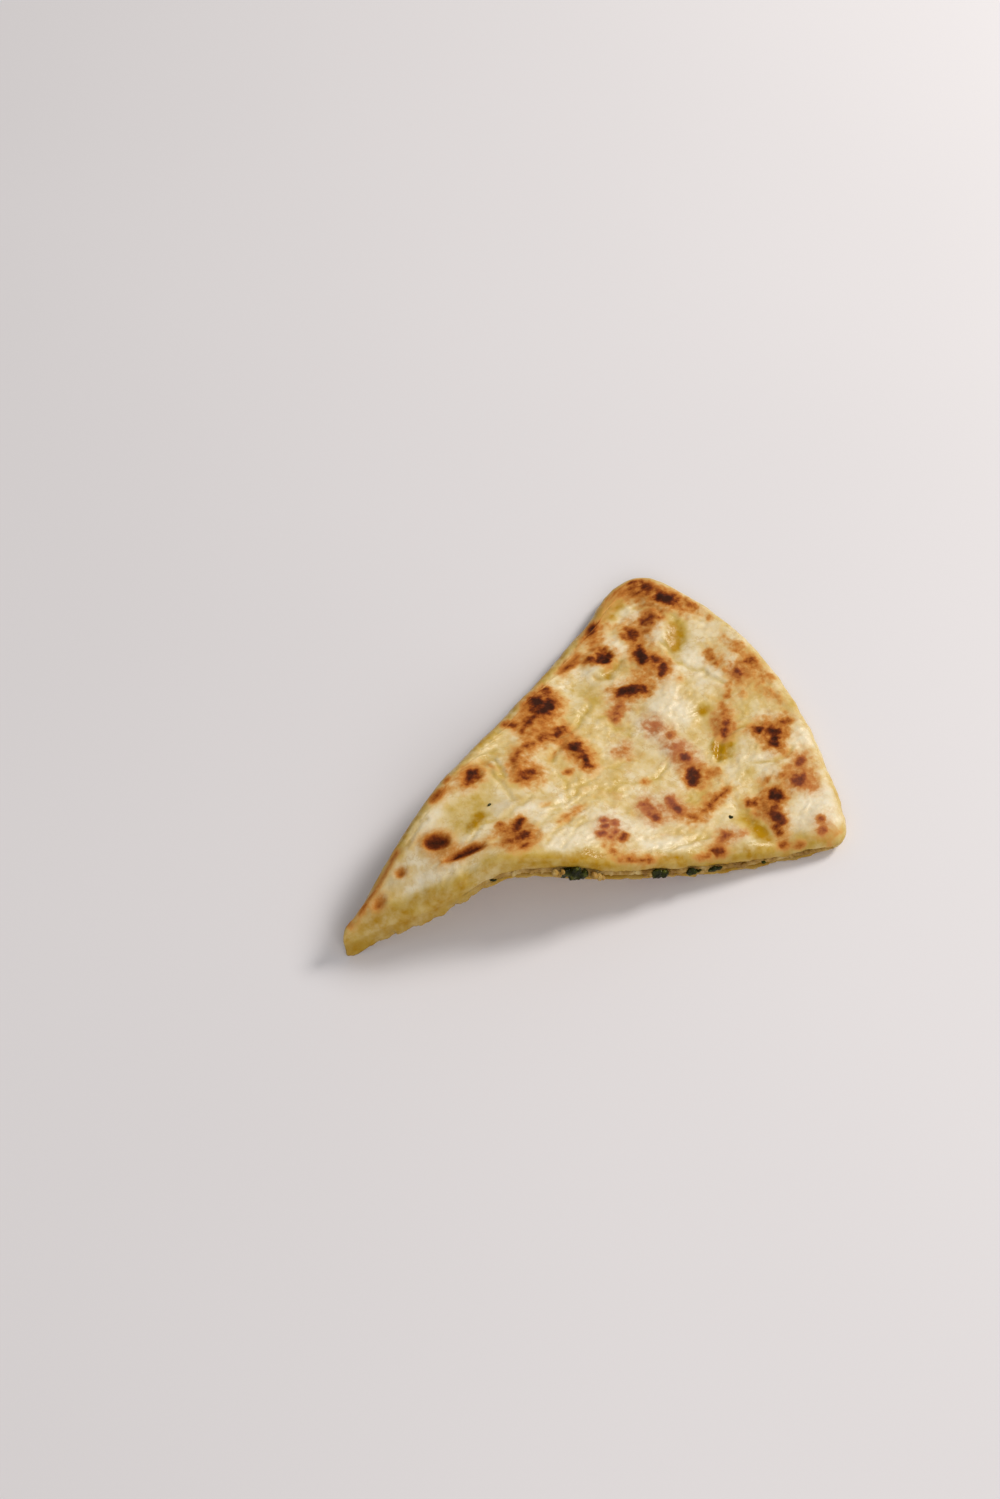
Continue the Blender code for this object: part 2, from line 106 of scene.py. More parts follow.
# Scorch marks on the upper layer, read one by one: x, y, length, width, turn in degrees, darkness, and for
# the rosy ones how rosy.
MARKS = (
    (3.3, 3.2, 1.5, 2.5, 0, 0.42), (12.2, 1.8, 3.6, 2.7, 20, 0.5), (11.6, 1.6, 1.8, 1.5, 20, 0.6),
    (21.4, 4.5, 2.4, 2.3, 0, 0.5), (23, 10.3, 4, 1.5, 20, 0.62), (15, 6.4, 19, 1.8, 22, 0.44),
    (34, 5.3, 6, 3.8, -35, 0.92), (37, -2.1, 11.5, 2.3, -13, 0.5), (38.5, -2.5, 8.5, 1.7, -13, 0.92),
    (42.5, 17.5, 5, 3, 15, 0.64), (48, 20, 2.5, 1.5, 20, 0.6), (54, 16.8, 7.4, 3.6, 18, 0.66),
    (55, 17.5, 4, 2.4, 18, 0.92), (57.5, 20, 6, 1, -18, 0.32), (61, 17, 3.5, 1, -70, 0.34),
    (50.5, -1.5, 3, 2.4, 30, 0.52), (55, -3.4, 5.4, 2.4, 35, 0.8), (50, -6.5, 3.5, 2.4, 0, 0.58),
    (53.6, -7, 5, 3, -10, 0.76), (52, -9.8, 5.4, 2.4, 0, 0.5), (52, -6.4, 7, 6.5, 0, 0.36),
    (67.7, 10, 8, 7, 0, 0.46), (68.4, 10.2, 5.5, 4, 0, 0.76), (69.3, 16.4, 6.5, 2.6, 38, 0.56),
    (75.5, 18.7, 6.5, 3.2, 8, 0.54), (81, 19.3, 6.5, 3.2, 3, 0.58), (86, 19, 4.6, 3.6, 0, 0.72),
    (87, 29.6, 8.5, 5.8, 15, 0.62), (87.5, 31.5, 5, 4, 0, 1.12), (90, 29, 4, 4, 0, 1.12),
    (86.8, 27.8, 4.6, 3.2, 20, 1), (81, 26.3, 7, 2.6, 22, 0.74), (77.5, 24.5, 4, 2.2, 20, 0.58),
    (92.5, 33.5, 2.5, 2.5, 0, 0.85), (75, 27.6, 5.5, 2.6, -30, 0.62), (79.5, 12.8, 6, 0.9, 27, 0.3),
    (86, 8.8, 10.5, 3, 86, 0.78), (86.3, 12, 4.4, 2.8, 0, 0.98), (86, 8.2, 2.6, 2.4, 0, 0.92),
    (85.3, 5, 2.4, 2, 0, 0.86), (79, 5.5, 3, 1.8, 0, 0.48), (97.4, 4.4, 7, 6, 0, 0.3, 0.5),
    (98.2, 4.8, 2, 2, 0, 0.44, 0.2), (96.5, 1, 2, 1.5, 0, 0.3), (104.8, 38.2, 10, 2.8, 16, 0.52),
    (114.5, 35, 5, 4.2, 0, 1), (110.8, 36.4, 4, 1.8, -10, 0.76), (105.5, 17, 9.5, 4.4, 38, 0.45, 0.35),
    (113, 20.4, 8, 3.2, -25, 1), (110.3, 5.6, 6.5, 7.5, 0, 0.3, 1), (111, 7, 2.4, 2.2, 0, 0.5, 1),
    (112, 1, 4, 2.4, 0, 0.46, 0.4), (69.8, -7.6, 11, 2.6, 8, 0.3), (66, -1.5, 3, 1.4, 0, 0.28),
    (75.6, -17, 7.5, 7, 0, 0.14, 1), (73, -22.5, 5, 7, 0, 0.12, 0.3), (76.2, -13.8, 1.5, 1.1, 0, 0.84, 0.9),
    (75.1, -15.7, 1.7, 1.2, 0, 0.9, 0.8), (78, -16, 1.3, 1.1, 0, 0.74, 1),
    (72.7, -17.3, 2.2, 1.2, 0, 0.9, 0.7), (76.2, -18.8, 1.6, 1, 0, 0.84, 0.9),
    (74, -19.3, 1.1, 1, 0, 0.64, 0.5), (77, -21, 2.6, 1.4, 20, 0.86, 0.1), (71.6, -24.3, 1.3, 1.6, 0, 0.5),
    (70.5, -21, 3, 2, 80, 0.32), (89.5, -16.5, 8, 4, 75, 0.46, 1), (89.6, -19.6, 2.6, 2.4, 0, 0.82, 0.3),
    (91, -14, 2.5, 2.2, 0, 0.42, 0.3), (97, -18.5, 6, 2.8, 80, 0.62, 0.8),
    (97, -20.4, 2.4, 2.2, 0, 0.86, 0.4), (98.5, -25, 4.5, 3.6, -30, 0.5), (107.3, -24.1, 13, 2.8, 10, 0.5),
    (107.9, -13.9, 6.8, 2.9, 57, 1, 0.1), (110.5, -7.5, 5, 5.5, 0, 0.26, 1),
    (110.5, -7.4, 2.7, 2.6, 0, 1, 0.3), (110.5, -3, 4, 3, 0, 0.42, 1), (112.5, -16, 5, 3.6, 0, 0.48),
    (95.5, -8, 2.5, 2, 0, 0.34), (75, -29.6, 11, 3.4, -28, 0.46), (77.5, -31, 2.4, 1.6, -20, 0.7),
    (97, -38.3, 3, 2.7, 0, 0.88, 0.1), (92.8, -37.8, 6, 2.6, -8, 0.46), (102, -35, 4, 3, 20, 0.62, 0.4),
    (106.5, -37, 3, 2.4, 0, 0.34, 0.5), (118, 44.9, 5.5, 3.8, 25, 0.9), (115, 43.3, 3.4, 2.4, 10, 0.5),
    (131, 51.8, 12, 2, 6, 0.56), (136.5, 50.3, 8, 3, -15, 0.5), (146.5, 37, 3, 6, 0, 0.34),
    (139.5, 52, 6, 2.4, -12, 0.86), (141, 47.5, 3, 2.8, 0, 0.86), (137, 47.5, 4, 2.2, 0, 0.6),
    (142.8, 41.3, 7, 4.2, -58, 1), (141.5, 43.5, 17, 7, -55, 0.42), (147, 34, 4, 3.6, 0, 0.56),
    (148.5, 27.5, 2.5, 2, 0, 0.36), (126.4, 37.1, 5.8, 4.4, 70, 0.68), (130, 35, 4, 2.2, -30, 0.42),
    (133.4, 37.9, 5.2, 4, 15, 0.66, 0.1), (136.5, 36.5, 2, 1.8, 0, 0.58), (123.6, 28.8, 7, 3, 58, 1),
    (126, 24.6, 4.5, 2.6, -70, 0.74), (125.4, 21, 5, 3, 35, 0.82, 0.1), (120.5, 23.4, 9, 4.6, 10, 0.3),
    (116, 18.9, 3.2, 2.6, 0, 0.84), (127, 15.5, 2.5, 2, 0, 0.36), (139.8, 16.2, 4.4, 3, 70, 0.46),
    (139.2, 13.2, 2.6, 2.4, 0, 0.56), (147.6, 13.5, 4, 10, 0, 0.36), (147.5, 8, 3.4, 2.8, 0, 0.64),
    (142, 7, 3, 2.8, 0, 0.82, 0.3), (137, 5, 2.5, 2, 0, 0.42), (135.5, 3, 5, 1.8, 40, 0.36),
    (126.6, -5.4, 8, 4.6, 48, 0.4, 0.2), (125, -7, 3.4, 2.6, 30, 0.74, 0.1),
    (127.4, -4.4, 3.2, 2.4, 50, 0.74, 0.2), (130, -1, 6, 2.6, 55, 0.44), (134, 2, 1.5, 1.2, 0, 0.6),
    (138, 0, 3, 2.2, 0, 0.32), (149, 0, 4, 4, 0, 0.38), (133.4, -12.6, 2.8, 2.8, 0, 0.88),
    (136.3, -15.4, 4, 2.8, -30, 0.98), (134.4, -18.4, 4.4, 3, 55, 1), (141, -15, 4.4, 2.2, 10, 0.6),
    (137.5, -12.4, 9, 5, -10, 0.26), (133.8, -24, 2.4, 7.5, 8, 0.3), (141.5, -30.5, 2.2, 3.4, 0, 0.34),
    (145, -5, 5, 12, 0, 0.26), (128, 49.3, 13, 5.5, 12, 0.2), (135.8, 28.4, 9, 3.4, 52, 0.12),
    (143.5, 3, 7, 5, 30, 0.24), (135.8, -28.2, 4.4, 2.8, 25, 0.64, 0.5), (131, -32.8, 4.2, 3.8, 0, 0.84, 0.4),
    (132.3, -36.6, 4, 3.4, 0, 0.34, 0.5), (128.5, -29, 4, 2.4, 0, 0.44), (123.5, -27.5, 3, 2.4, 0, 0.42),
    (122, -33, 4.2, 3.2, 20, 0.98), (119.5, -35.5, 4, 2.6, 50, 0.7), (117.8, -38.6, 5.8, 2.7, 92, 0.9, 0.2),
    (115.2, -42, 4, 1.8, 70, 0.76), (115.5, -31, 4, 2.8, 0, 0.64), (117, -35, 3, 3, 0, 0.5),
    (113, -47, 3, 2, 0, 0.6), (116.5, -49.5, 3, 2, 0, 0.58), (126, -48, 6.5, 5, 0, 0.2, 0.5),
    (128.5, -52.6, 5, 2, 0, 0.5), (114.5, -45.5, 5, 2.6, 60, 0.34), (127, -46.5, 1.6, 1.6, 0, 0.78, 0.4),
    (125, -49.5, 1.8, 1.8, 0, 0.74, 0.6), (125.6, -54.8, 3.8, 2.6, 10, 0.66),
)

# Pools and smears of yellow butter, in the dents partly painted shade, and pale mounds, partly painted sheen:
# x, y, length, width, turn, strength.
BUTTER_AND_SHADE = (
    (46.5, 4.2, 7.5, 3.6, 10, 1.25), (42.5, 6.2, 4.5, 2.4, 0, 0.6), (122, -10.4, 10.5, 5.8, 45, 2),
    (125, 2.2, 6, 4.2, -20, 1), (100, 24, 8, 6, 0, 0.45), (95, 21, 6, 5, 0, 0.4),
    (127.5, 48.6, 15, 7, 14, 1.2), (122, 46.5, 6, 3, 20, 0.6), (121, -22, 7, 6, 0, 0.45),
    (105, -21, 9, 6, 0, 0.6), (112.5, -17, 7, 5, 0, 0.5), (135.8, 28.2, 13, 6, 50, 1.1),
    (113.5, 30.2, 8, 2.8, 0, 0.95), (65.5, -23, 14, 6.5, -34, 0.95), (82.5, -33.6, 13, 4.6, -26, 1.6),
    (95, -38.6, 10, 2.4, -16, 0.7), (111.2, -38, 6, 15, -8, 1.1), (104, -30, 6, 4, 0, 0.35),
    (57, 10, 10, 5, 0, 0.3), (62, 20, 10, 5, 20, 0.55), (61.5, 15, 2, 5, 0, 0.6), (80, -6, 22, 4, 4, 0.3),
    (103, 12, 5, 8, 0, 0.3), (131, -9, 8, 3, 20, 0.45), (135, -5, 8, 6, 0, 0.4), (145, -8, 4, 10, 0, 0.35),
    (140, 30, 8, 4, 60, 0.35), (20, 9.5, 22, 2.6, 24, 0.6),
)
MOUNDS = (
    (35, 12, 11, 6, 10, 0.8), (16, 6, 14, 5, 18, 0.5), (27, -2, 14, 5, 0, 0.6), (55, 5, 8, 5, 0, 0.7),
    (132.8, 32.6, 9, 4.5, 45, 1), (135, 15, 7, 14, 0, 0.8), (119.5, 36, 5, 9, 0, 0.9),
    (109.5, 33, 6, 5, 0, 0.7), (130.5, 44, 9, 5, 20, 0.5), (120, 6, 9, 8, 0, 0.8), (131, -41, 11, 8, 0, 1),
    (127, -22, 7, 7, 0, 0.7), (142, -22, 8, 9, 0, 0.8), (118, -20, 6, 6, 0, 0.5), (62, -16, 12, 8, -25, 0.95),
    (85, -30, 14, 8, -20, 0.9), (104, 42, 8, 5, 20, 0.6), (146, 24, 6, 8, 0, 0.5), (105, -41, 7, 5, -20, 0.9),
)

# Scorched pits sunk into the skin: x, y, half length, half width, turn, depth.
PITS = (
    (12.2, 1.8, 1.9, 1.5, 20, 0.6), (21.4, 4.5, 1.2, 1.2, 0, 0.5), (34, 5, 3.2, 2.3, -35, 0.7),
    (38, -2.3, 5.4, 1.1, -15, 0.9), (54.5, 17, 3.4, 2.2, 20, 0.6), (69, 10, 2.8, 2.2, 0, 0.4),
    (86, 8.5, 1.8, 5, 0, -0.3), (114.5, 35, 2.8, 2.4, 0, 0.7), (108, -13.8, 3.6, 2.2, 57, 0.5),
)

# The dough's side, from the top edge down: how far each line stands in from the outline, and its height as a
# share of the way up. A cut has an upper lip, a groove for the filling and a lower lip; the rim is round.
CUT_SECTION = (
    (3.4, 1.0), (2.6, 0.985), (1.9, 0.955), (1.3, 0.91), (0.8, 0.85), (0.4, 0.77), (0.15, 0.68), (0.0, 0.59),
    (0.15, 0.53), (0.7, 0.49), (2.4, 0.46), (2.4, 0.27), (0.8, 0.235), (0.25, 0.2), (0.1, 0.12), (0.5, 0.04),
    (1.4, 0.0), (2.6, 0.0),
)
RIM_SECTION = (
    (3.4, 1.0), (2.7, 0.985), (2.05, 0.955), (1.5, 0.91), (1.0, 0.85), (0.65, 0.78), (0.35, 0.7),
    (0.15, 0.62), (0.03, 0.54), (0.0, 0.48), (0.02, 0.42), (0.08, 0.35), (0.2, 0.28), (0.4, 0.21),
    (0.7, 0.14), (1.1, 0.07), (1.7, 0.02), (2.6, 0.0),
)
# The lines of the upper lip, its lower edge, the groove, the part that the smear evens out, the lower lip.
LIP_LINES, LIP_EDGE_LINES, GROOVE_LINES = range(5, 10), range(6, 11), (10, 11)
SMEARED_LINES, FOOT_LINES = (8, 9, 12, 13), range(12, 16)
# The front upper lip is drawn back here and shows the filling: distance from the tip, reach, strength.
DRAWN_BACK = ((64.0, 5.0, 1.0), (86.8, 3.4, 0.8), (97.0, 4.0, 0.7), (103.0, 3.0, 0.6))
# The cuts stand open to the first distance and are closed from the second; beyond AT_CUT is a cut itself.
OPEN_TO, CLOSED_FROM, AT_CUT = 129.0, 138.0, 0.999
# The smooth arch on which the marks were read, and how far height moves a point there along x and y.
SEEN_PEAK, SEEN_FALL, SEEN_THICK, SEEN_ARCH = 44.0, 68.0, 8.0, 12.0
SEEN_SHIFT = (0.43, 0.60)
# The random lattices repeat after this many cells.
LATTICE = 128


def smoothstep(low, high, value):
    share = np.clip((value - low) / (high - low), 0.0, 1.0)
    return share * share * (3.0 - 2.0 * share)


def lumps(x, y, size, seed, layers=3):
    """Soft random lumps of the given size, from about -1 to 1, each finer layer half as strong."""
    total = np.zeros(np.shape(x))
    for layer in range(layers):
        turn = 0.6 + 1.7 * layer + seed
        u = (x * math.cos(turn) - y * math.sin(turn)) * 2**layer / size + 3.7 * seed
        v = (x * math.sin(turn) + y * math.cos(turn)) * 2**layer / size - 5.1 * seed
        i, j = np.floor(u).astype(int), np.floor(v).astype(int)
        u, v = u - i, v - j
        angle = np.random.default_rng(100 * seed + layer).uniform(0.0, 2.0 * math.pi, (LATTICE, LATTICE))
        slopes = []
        for di in (0, 1):
            for dj in (0, 1):
                direction = angle[(i + di) % LATTICE, (j + dj) % LATTICE]
                slopes.append(np.cos(direction) * (u - di) + np.sin(direction) * (v - dj))
        u, v = u * u * u * (u * (6 * u - 15) + 10), v * v * v * (v * (6 * v - 15) + 10)
        low = slopes[0] * (1 - v) + slopes[1] * v
        high = slopes[2] * (1 - v) + slopes[3] * v
        total += (low * (1 - u) + high * u) * 1.5 * 0.5**layer
    return total


def rim_radius(across):
    """The rim's distance from the tip, for a place between the cuts from -1 to 1."""
    across = np.clip(across, -1.0, 1.0)
    radius = RIM_MIDDLE + RIM_SLANT * across - RIM_ROUNDING * across**2
    radius = radius + RIM_WAVE * np.sin(math.pi * across / 0.9)
    from_cut = HALF_ANGLE * radius * (1.0 - np.abs(across))
    for side, over, back in CORNERS:
        into_corner = np.where(side * across > 0, np.clip(1.0 - from_cut / over, 0.0, 1.0), 0.0)
        radius = radius - back * (1.0 - np.sqrt(1.0 - into_corner**2))
    return radius


def arch(x, y):
    """The height of the underside above the floor."""
    up = np.sin(np.clip((x - ARCH_START) / (ARCH_PEAK - ARCH_START), 0.0, 1.0) * math.pi / 2)
    down = 0.5 + 0.5 * np.cos(np.clip((x - ARCH_PEAK) / (ARCH_END - ARCH_PEAK), 0.0, 1.0) * math.pi)
    lift = np.exp(-(((x - ARCH_PEAK) / LIFT_LENGTH) ** 2)) * smoothstep(LIFT_START, LIFT_FULL, -y)
    return ARCH_HEIGHT * np.where(x < ARCH_PEAK, up, down) + FRONT_LIFT * lift


def thickness(x):
    return THICK_BODY + (THICK_RIM - THICK_BODY) * smoothstep(THIN_FROM, THIN_TO, x)


def bent(x, y, z):
    """Where a point lies across the slice once the slice is bent and its tip leans back."""
    across = np.clip(y / (np.maximum(x, 1.0) * math.tan(HALF_ANGLE)), -1.0, 1.0)
    shift = 0.0
    for weight, bends in (((1.0 - across) / 2, FRONT_BENDS), ((1.0 + across) / 2, BACK_BENDS)):
        for place, length, size in bends:
            shift = shift + weight * size * np.exp(-(((x - place) / length) ** 2))
    level = (z - arch(x, y)) / THICK_BODY
    return y + shift + LEAN * level * (1.0 - smoothstep(0.0, LEAN_END, x))


def plan(share, across, inset):
    """A point seen from above: share of the way to the rim, place between the cuts, and inset."""
    start = 0.8 * inset
    radius = start + share * (rim_radius(across) - inset - start)
    fade = smoothstep(0.0, TIP_FADE, radius)
    angle = across * (HALF_ANGLE - inset * fade / np.maximum(radius, TIP_FADE / 4))
    return radius * np.cos(angle), radius * np.sin(angle)


def turned(x, y, cx, cy, turn):
    """How far a point lies along and across an oval from its middle."""
    angle = math.radians(turn)
    along = (x - cx) * math.cos(angle) + (y - cy) * math.sin(angle)
    return along, (y - cy) * math.cos(angle) - (x - cx) * math.sin(angle)


def in_oval(x, y, oval):
    """Roughly how many millimetres a point lies outside an oval; negative inside it."""
    cx, cy, length, width, turn = oval[:5]
    u, v = turned(x, y, cx, cy, turn)
    u, v = u / (length / 2), v / (width / 2)
    far = np.sqrt(u * u + v * v)
    slope = np.sqrt((u * 2 / length) ** 2 + (v * 2 / width) ** 2) / np.maximum(far, 0.01)
    return (far - 1.0) / np.maximum(slope, 2.0 / length)


def from_line(x, y, points):
    """Distance from a point to a line through the given points."""
    nearest = np.full(np.shape(x), 1e9)
    for (ax, ay), (bx, by) in zip(points, points[1:]):
        dx, dy = bx - ax, by - ay
        share = np.clip(((x - ax) * dx + (y - ay) * dy) / (dx**2 + dy**2), 0, 1)
        nearest = np.minimum(nearest, np.hypot(x - ax - share * dx, y - ay - share * dy))
    return nearest


def scorching(x, y, marks, seed):
    """Darkness and rosiness of the scorch marks at a point: darkest inside, and fading softly to tan."""
    ragged = 0.85 * lumps(x, y, 3.8, seed, 3) + 0.38 * lumps(x, y, 1.3, seed + 1, 3)
    crisp = 0.4 + 0.6 * smoothstep(40.0, 52.0, x)
    ragged = ragged * crisp
    core, clear = np.zeros(np.shape(x)), np.ones(np.shape(x))
    rosy_sum, weight = np.zeros(np.shape(x)), np.full(np.shape(x), 1e-6)
    for mark in marks:
        width, dark, rosy = mark[3], mark[5], mark[6] if len(mark) > 6 else 0.0
        outside = in_oval(x, y, mark) + ragged * min(max(width / 3.5, 0.45), 1.3)
        wide = min(max(width / 3.5, 0.6), 1.0)
        soft = 0.36 + (0.80 - 0.38 * dark) * wide
        tone = dark / (1.0 + np.exp((outside - 0.2) / soft))
        halo = 0.40 * min(width / 3.0, 1.0) * dark
        around = halo / (1.0 + np.exp((outside - 1.9 * wide) / (0.5 + 0.7 * wide)))
        core = np.maximum(core, tone)
        clear = clear * (1.0 - around)
        rosy_sum, weight = rosy_sum + tone * rosy, weight + tone
    patchy = 1.0 + 0.3 * crisp * lumps(x, y, 1.6, seed + 2, 3)
    halos = 0.46 * np.tanh((1.0 - clear) / 0.46)
    return np.clip(np.maximum(core, halos) * patchy, 0.0, 1.0), rosy_sum / weight


def spread(x, y, ovals, seed):
    """Soft patches, such as butter, from 0 to 1."""
    wander = 0.9 * lumps(x, y, 4.0, seed, 3)
    patch = np.zeros(np.shape(x))
    for oval in ovals:
        patch = np.maximum(patch, oval[5] / (1.0 + np.exp((in_oval(x, y, oval) + wander) / 0.8)))
    return patch


def relief(x, y):
    """The puffs and dents, without the finest wrinkles."""
    height = 0.35 * np.sin(x / 4.1 + 1.3 * np.sin(y / 5.3)) * np.cos(y / 4.7 + 0.7 * np.sin(x / 7.9))
    for cx, cy, half_length, half_width, turn, swelling in PUFFS:
        u, v = turned(x, y, cx, cy, turn)
        height = height + swelling * np.exp(-((u / half_length) ** 2 + (v / half_width) ** 2))
    return height


def crease_wander(x, y):
    """How far the creases stray from their straight runs."""
    return 1.2 * lumps(x, y, 6.0, 5, 2)


def wrinkles(x, y):
    """Fine wrinkles of the skin, the creases with their soft raised edges, and the scorched pits."""
    wander = crease_wander(x, y)
    crinkled = smoothstep(-0.25, 0.5, lumps(x, y, 22.0, 6, 2) + smoothstep(45, 70, x) - 0.45)
    folds = 1.0 - 2.0 * np.abs(lumps(x + 1.6 * wander, 1.5 * y - 0.9 * wander, 5.2, 8, 2))
    height = 0.17 * lumps(x, y, 6.0, 3, 3) + crinkled * (0.18 * folds + 0.09 * lumps(x, y, 1.7, 4, 2))
    for crease in CREASES:
        width, depth = crease[:2]
        away = from_line(x + wander, y + wander, crease[2:]) / width
        height = height - depth * np.exp(-away * away) + 0.5 * depth * np.exp(-((away - 2.0) ** 2))
    for cx, cy, half_length, half_width, turn, depth in PITS:
        outside = in_oval(x, y, (cx, cy, 2 * half_length, 2 * half_width, turn))
        raised_edge = 0.35 * depth * np.exp(-((outside - 0.9) ** 2))
        height = height - depth / (1.0 + np.exp((outside + 0.1) / 0.35)) + raised_edge
    return height


def seen_place(x, y, z):
    """Where the marks' list puts a point: the list was read on a smooth arch, seen from the front left."""
    sx, sy = x, y
    for _ in range(3):
        up = np.sin(np.clip(sx / SEEN_PEAK, 0.0, 1.0) * math.pi / 2) ** 0.9
        down = 0.5 + 0.5 * np.cos(np.clip((sx - SEEN_PEAK) / SEEN_FALL, 0.0, 1.0) * math.pi)
        above = z - SEEN_THICK - SEEN_ARCH * np.where(sx < SEEN_PEAK, up, down)
        sx, sy = x + SEEN_SHIFT[0] * above, y + SEEN_SHIFT[1] * above
    return sx, sy


def slab_grid(rows):
    """A triangle's points row by row, as share and place between the cuts, its faces and its outline."""
    share, across, faces, first = [0.0], [0.0], [], 0
    for row in range(1, rows + 1):
        share += [row / rows] * (row + 1)
        across += [2.0 * column / row - 1.0 for column in range(row + 1)]
        second = first + row
        for column in range(row):
            faces.append((first + column, second + column, second + column + 1))
            if column < row - 1:
                faces.append((first + column, second + column + 1, first + column + 1))
        first = second
    starts = [row * (row + 1) // 2 for row in range(rows + 1)]
    outline = [starts[row] for row in range(rows, -1, -1)]
    outline += [starts[row] + row for row in range(1, rows + 1)]
    outline += [starts[rows] + column for column in range(rows - 1, 0, -1)]
    return np.array(share), np.array(across), faces, outline


def in_scene(name, data):
    obj = bpy.data.objects.new(name, data)
    bpy.context.scene.collection.objects.link(obj)
    return obj


def mesh_object(name, points, faces):
    """A closed mesh from points in millimetres from the tip, with its faces turned outwards."""
    mesh = bpy.data.meshes.new(name)
    placed = (np.array(points) + (TIP[0], TIP[1], 0.0)) * MM
    mesh.from_pydata(placed.tolist(), [], faces)
    bm = bmesh.new()
    bm.from_mesh(mesh)
    bmesh.ops.recalc_face_normals(bm, faces=bm.faces[:])
    bm.to_mesh(mesh)
    bm.free()
    mesh.shade_smooth()
    return in_scene(name, mesh)


def paint(obj, name, values):
    layer = obj.data.attributes.new(name, "FLOAT", "POINT")
    layer.data.foreach_set("value", np.ascontiguousarray(values, dtype=np.float32))


share, across, top_faces, outline = slab_grid(ROWS)
count = len(share)
upper_inset, upper_level = CUT_SECTION[0]
edge_share, edge_across = share[outline], across[outline]
edge_radius = edge_share * rim_radius(edge_across)
on_cut = np.abs(edge_across) > AT_CUT
openness = np.where(on_cut, 1.0 - smoothstep(OPEN_TO, CLOSED_FROM, edge_radius), 0.0)
openness[ROWS] = 1.0
along_edge = np.where(edge_across < 0, -edge_radius, edge_radius)

plan_share, plan_across = [share], [across]
plan_inset, plan_level = [np.full(count, upper_inset)], [np.full(count, upper_level)]
below = [np.zeros(count)]
ragged_rim = 0.55 * lumps(along_edge, edge_across * 60, 9.0, 24, 3)
ragged_lip = 0.45 * lumps(along_edge, 0 * along_edge, 3.0, 21, 3)
ragged_foot = 0.8 * lumps(along_edge, 0 * along_edge + 40, 3.4, 22, 3)
gape = lumps(along_edge, 0 * along_edge + 80, 9.0, 23, 2)
smeared = 1.0 - smoothstep(SMEAR_FULL, SMEAR_END, edge_radius)
drawn_back = np.zeros(len(outline))
for middle, reach, strength in DRAWN_BACK:
    bump = strength * np.exp(-(((edge_radius - middle) / reach) ** 2))
    drawn_back = np.maximum(drawn_back, np.where(edge_across < 0, bump, 0.0))
for line in range(1, len(CUT_SECTION)):
    cut_inset, cut_level = CUT_SECTION[line]
    rim_inset, rim_level = RIM_SECTION[line]
    crumbly = 0.55 * lumps(along_edge, 0 * along_edge + 0.9 * line, 1.6, 25, 2)
    if line in GROOVE_LINES:
        cut_inset = cut_inset + (0.10 - cut_inset) * smeared + 0.4 * gape * (1.0 - smeared)
    if line in LIP_LINES:
        down_lip = (line - 4) / 5
        cut_inset = cut_inset + (ragged_lip + 0.9 * drawn_back + crumbly * smeared * 5 / 6) * down_lip
        cut_level = cut_level - 0.05 * gape * down_lip
    if line in LIP_EDGE_LINES:
        cut_level = cut_level + 0.10 * drawn_back * (line - 5) / 5
    if line in SMEARED_LINES:
        cut_inset = cut_inset + (0.12 - cut_inset) * smeared
    if line in FOOT_LINES:
        cut_inset = cut_inset + ragged_foot * (0.6 + 0.2 * (line == 14)) + crumbly * smeared * 0.5
    plan_share.append(edge_share)
    plan_across.append(edge_across)
    if line >= 3:
        rim_inset = rim_inset + ragged_rim * math.sin(math.pi * (line - 2) / (len(CUT_SECTION) - 2))
    plan_inset.append(openness * cut_inset + (1.0 - openness) * rim_inset)
    plan_level.append(openness * cut_level + (1.0 - openness) * rim_level)
    below.append(np.full(len(outline), line / (len(CUT_SECTION) - 1)))
inner = np.setdiff1d(np.arange(count), outline)
plan_share.append(share[inner])
plan_across.append(across[inner])
plan_inset.append(np.full(len(inner), CUT_SECTION[-1][0]))
plan_level.append(np.zeros(len(inner)))
below.append(np.ones(len(inner)))

plan_share, plan_across = np.concatenate(plan_share), np.concatenate(plan_across)
plan_inset, plan_level = np.concatenate(plan_inset), np.concatenate(plan_level)
below = np.concatenate(below)
flat_x, flat_y = plan(plan_share, plan_across, plan_inset)
floor_height = arch(flat_x, flat_y)
top_height = floor_height + thickness(flat_x) + relief(flat_x, flat_y)
skin_y = bent(flat_x, flat_y, top_height)
seen_x, seen_y = seen_place(flat_x, skin_y, top_height)
scorch, rosy = scorching(seen_x, seen_y, MARKS, 7)
speckled = lumps(seen_x, seen_y, 5.5, 19, 3) + 0.25 * lumps(seen_x, seen_y, 22.0, 20, 2)
freckles = smoothstep(0.25, 0.85, speckled)
scorch = np.maximum(scorch, 0.12 * freckles * smoothstep(46.0, 60.0, seen_x))
blisters = scorch**1.5 * (0.15 + 0.40 * lumps(seen_x, seen_y, 1.9, 9, 2)) * smoothstep(45, 60, seen_x)
skin = wrinkles(seen_x, seen_y) + blisters
top_height = top_height + skin * smoothstep(0.0, 5.0, np.where(plan_share > 0, flat_x, 0.0))
height = floor_height + plan_level * (top_height - floor_height)
under = plan_level <= 0.0
sag = 0.25 + 0.25 * lumps(flat_x, flat_y, 9.0, 31, 3) + 0.08 * lumps(flat_x, flat_y, 2.0, 32, 2)
sag = sag * smoothstep(1.2, 4.5, plan_inset + 9 * (below >= 1))
height = np.where(under, np.maximum(floor_height + sag, 0), height)
side_y = bent(flat_x, flat_y, height)
points = np.column_stack((flat_x, side_y, height))

